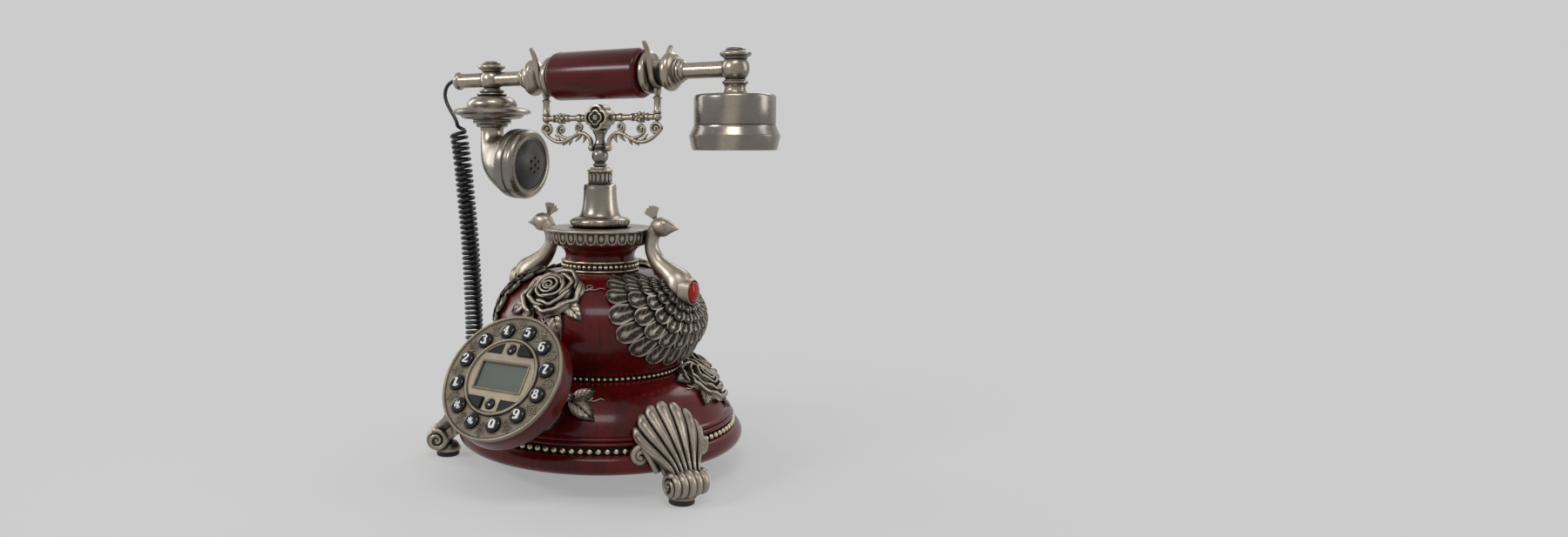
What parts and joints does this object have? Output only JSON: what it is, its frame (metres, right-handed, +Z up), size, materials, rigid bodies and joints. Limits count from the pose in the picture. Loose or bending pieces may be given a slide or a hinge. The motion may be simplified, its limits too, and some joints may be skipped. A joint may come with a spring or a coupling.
{
  "type": "cradle telephone",
  "caption": "Ornate French-style cradle telephone with a sprung handset cradle, push-button dial, shell feet, peacock and rose castings, and a curly handset cord.",
  "frame": {"origin": "on the floor, at the centre of the circle of the three foot pads, which is the axis of the base, vase and pedestal", "axes": "+Z up, dial towards -Y, handset along X with the earpiece at +X and the mouthpiece and cord at -X"},
  "size_m": [0.2835, 0.2735, 0.3013],
  "materials": {
    "pewter": "brushed antique plating with dark patina in the recesses",
    "red_lacquer": "glossy wood-look lacquer",
    "black_key": "gloss black with white digits",
    "black_rubber": "satin",
    "red_gem": "polished cabochon",
    "display_glass": "satin grey-green display",
    "circuit_board": "matt",
    "black_plastic": "matt",
    "steel": "zinc plated"
  },
  "bodies": {
    "base": {"base_shell": "red_lacquer", "bottom_plate": "black_plastic", "bottom_screws": "steel", "base_bead_ring": "pewter", "waist_bead_ring": "pewter", "vase_shell": "red_lacquer", "neck_bead_band": "pewter", "scallop_flange": "pewter", "pedestal_bell": "pewter", "fluted_collar": "pewter", "leg_front_left": "pewter", "leg_front_right": "pewter", "leg_rear": "pewter", "foot_pads": "black_rubber", "peacock_left": "pewter", "peacock_right": "pewter", "gems": "red_gem", "vase_roses": "pewter", "base_roses": "pewter", "line_board": "circuit_board", "hook_spring": "steel", "line_jack": "black_plastic", "cord_bush": "black_rubber", "cord_coil": "black_rubber", "dial_housing": "red_lacquer", "dial_plate": "pewter", "dial_bezel": "pewter", "lcd_window": "display_glass", "keypad_board": "circuit_board"},
    "cradle": {"cradle_post": "pewter", "cradle_bar": "pewter", "cradle_scrolls": "pewter", "cradle_forks": "pewter"},
    "handset": {"grip": "red_lacquer", "handle_tube": "pewter", "mouth_stack": "pewter", "mouth_horn": "pewter", "mouth_face": "pewter", "ear_stack": "pewter", "ear_cup": "pewter", "ear_cap": "pewter", "cord_lead": "black_rubber"},
    "key_0": {"key_0": "black_key"},
    "key_1": {"key_1": "black_key"},
    "key_2": {"key_2": "black_key"},
    "key_3": {"key_3": "black_key"},
    "key_4": {"key_4": "black_key"},
    "key_5": {"key_5": "black_key"},
    "key_6": {"key_6": "black_key"},
    "key_7": {"key_7": "black_key"},
    "key_8": {"key_8": "black_key"},
    "key_9": {"key_9": "black_key"},
    "key_star": {"key_star": "black_key"},
    "key_hash": {"key_hash": "black_key"},
    "soft_key_top_left": {"soft_key_top_left": "black_key"},
    "soft_key_top_right": {"soft_key_top_right": "black_key"},
    "soft_key_bottom_left": {"soft_key_bottom_left": "black_key"},
    "soft_key_bottom_right": {"soft_key_bottom_right": "black_key"},
    "round_key_top": {"round_key_top": "black_key"},
    "round_key_bottom": {"round_key_bottom": "black_key"}
  },
  "joints": [
    {"name": "handset_lift", "type": "slide", "parent": "base", "child": "handset", "axis": [0, 0, 1], "range_m": [0, 0.06], "deforming": ["cord_coil"]},
    {"name": "hook_plunge", "type": "slide", "parent": "base", "child": "cradle", "axis": [0, 0, 1], "range_m": [0, 0.004], "deforming": ["hook_spring"]},
    {"name": "key_0_press", "type": "slide", "parent": "base", "child": "key_0", "axis": [0, 0.8039, -0.5948], "range_m": [0, 0.0015], "stiffness_N_per_m": 400, "springref_m": -0.0006},
    {"name": "key_1_press", "type": "slide", "parent": "base", "child": "key_1", "axis": [0, 0.8039, -0.5948], "range_m": [0, 0.0015], "stiffness_N_per_m": 400, "springref_m": -0.0006},
    {"name": "key_2_press", "type": "slide", "parent": "base", "child": "key_2", "axis": [0, 0.8039, -0.5948], "range_m": [0, 0.0015], "stiffness_N_per_m": 400, "springref_m": -0.0006},
    {"name": "key_3_press", "type": "slide", "parent": "base", "child": "key_3", "axis": [0, 0.8039, -0.5948], "range_m": [0, 0.0015], "stiffness_N_per_m": 400, "springref_m": -0.0006},
    {"name": "key_4_press", "type": "slide", "parent": "base", "child": "key_4", "axis": [0, 0.8039, -0.5948], "range_m": [0, 0.0015], "stiffness_N_per_m": 400, "springref_m": -0.0006},
    {"name": "key_5_press", "type": "slide", "parent": "base", "child": "key_5", "axis": [0, 0.8039, -0.5948], "range_m": [0, 0.0015], "stiffness_N_per_m": 400, "springref_m": -0.0006},
    {"name": "key_6_press", "type": "slide", "parent": "base", "child": "key_6", "axis": [0, 0.8039, -0.5948], "range_m": [0, 0.0015], "stiffness_N_per_m": 400, "springref_m": -0.0006},
    {"name": "key_7_press", "type": "slide", "parent": "base", "child": "key_7", "axis": [0, 0.8039, -0.5948], "range_m": [0, 0.0015], "stiffness_N_per_m": 400, "springref_m": -0.0006},
    {"name": "key_8_press", "type": "slide", "parent": "base", "child": "key_8", "axis": [0, 0.8039, -0.5948], "range_m": [0, 0.0015], "stiffness_N_per_m": 400, "springref_m": -0.0006},
    {"name": "key_9_press", "type": "slide", "parent": "base", "child": "key_9", "axis": [0, 0.8039, -0.5948], "range_m": [0, 0.0015], "stiffness_N_per_m": 400, "springref_m": -0.0006},
    {"name": "key_star_press", "type": "slide", "parent": "base", "child": "key_star", "axis": [0, 0.8039, -0.5948], "range_m": [0, 0.0015], "stiffness_N_per_m": 400, "springref_m": -0.0006},
    {"name": "key_hash_press", "type": "slide", "parent": "base", "child": "key_hash", "axis": [0, 0.8039, -0.5948], "range_m": [0, 0.0015], "stiffness_N_per_m": 400, "springref_m": -0.0006},
    {"name": "soft_key_top_left_press", "type": "slide", "parent": "base", "child": "soft_key_top_left", "axis": [0, 0.8039, -0.5948], "range_m": [0, 0.0015], "stiffness_N_per_m": 400, "springref_m": -0.0006},
    {"name": "soft_key_top_right_press", "type": "slide", "parent": "base", "child": "soft_key_top_right", "axis": [0, 0.8039, -0.5948], "range_m": [0, 0.0015], "stiffness_N_per_m": 400, "springref_m": -0.0006},
    {"name": "soft_key_bottom_left_press", "type": "slide", "parent": "base", "child": "soft_key_bottom_left", "axis": [0, 0.8039, -0.5948], "range_m": [0, 0.0015], "stiffness_N_per_m": 400, "springref_m": -0.0006},
    {"name": "soft_key_bottom_right_press", "type": "slide", "parent": "base", "child": "soft_key_bottom_right", "axis": [0, 0.8039, -0.5948], "range_m": [0, 0.0015], "stiffness_N_per_m": 400, "springref_m": -0.0006},
    {"name": "round_key_top_press", "type": "slide", "parent": "base", "child": "round_key_top", "axis": [0, 0.8039, -0.5948], "range_m": [0, 0.0015], "stiffness_N_per_m": 400, "springref_m": -0.0006},
    {"name": "round_key_bottom_press", "type": "slide", "parent": "base", "child": "round_key_bottom", "axis": [0, 0.8039, -0.5948], "range_m": [0, 0.0015], "stiffness_N_per_m": 400, "springref_m": -0.0006}
  ],
  "couplings": [
    {"joint": "hook_plunge", "follows": "handset_lift", "ratio": 0.0666}
  ]
}
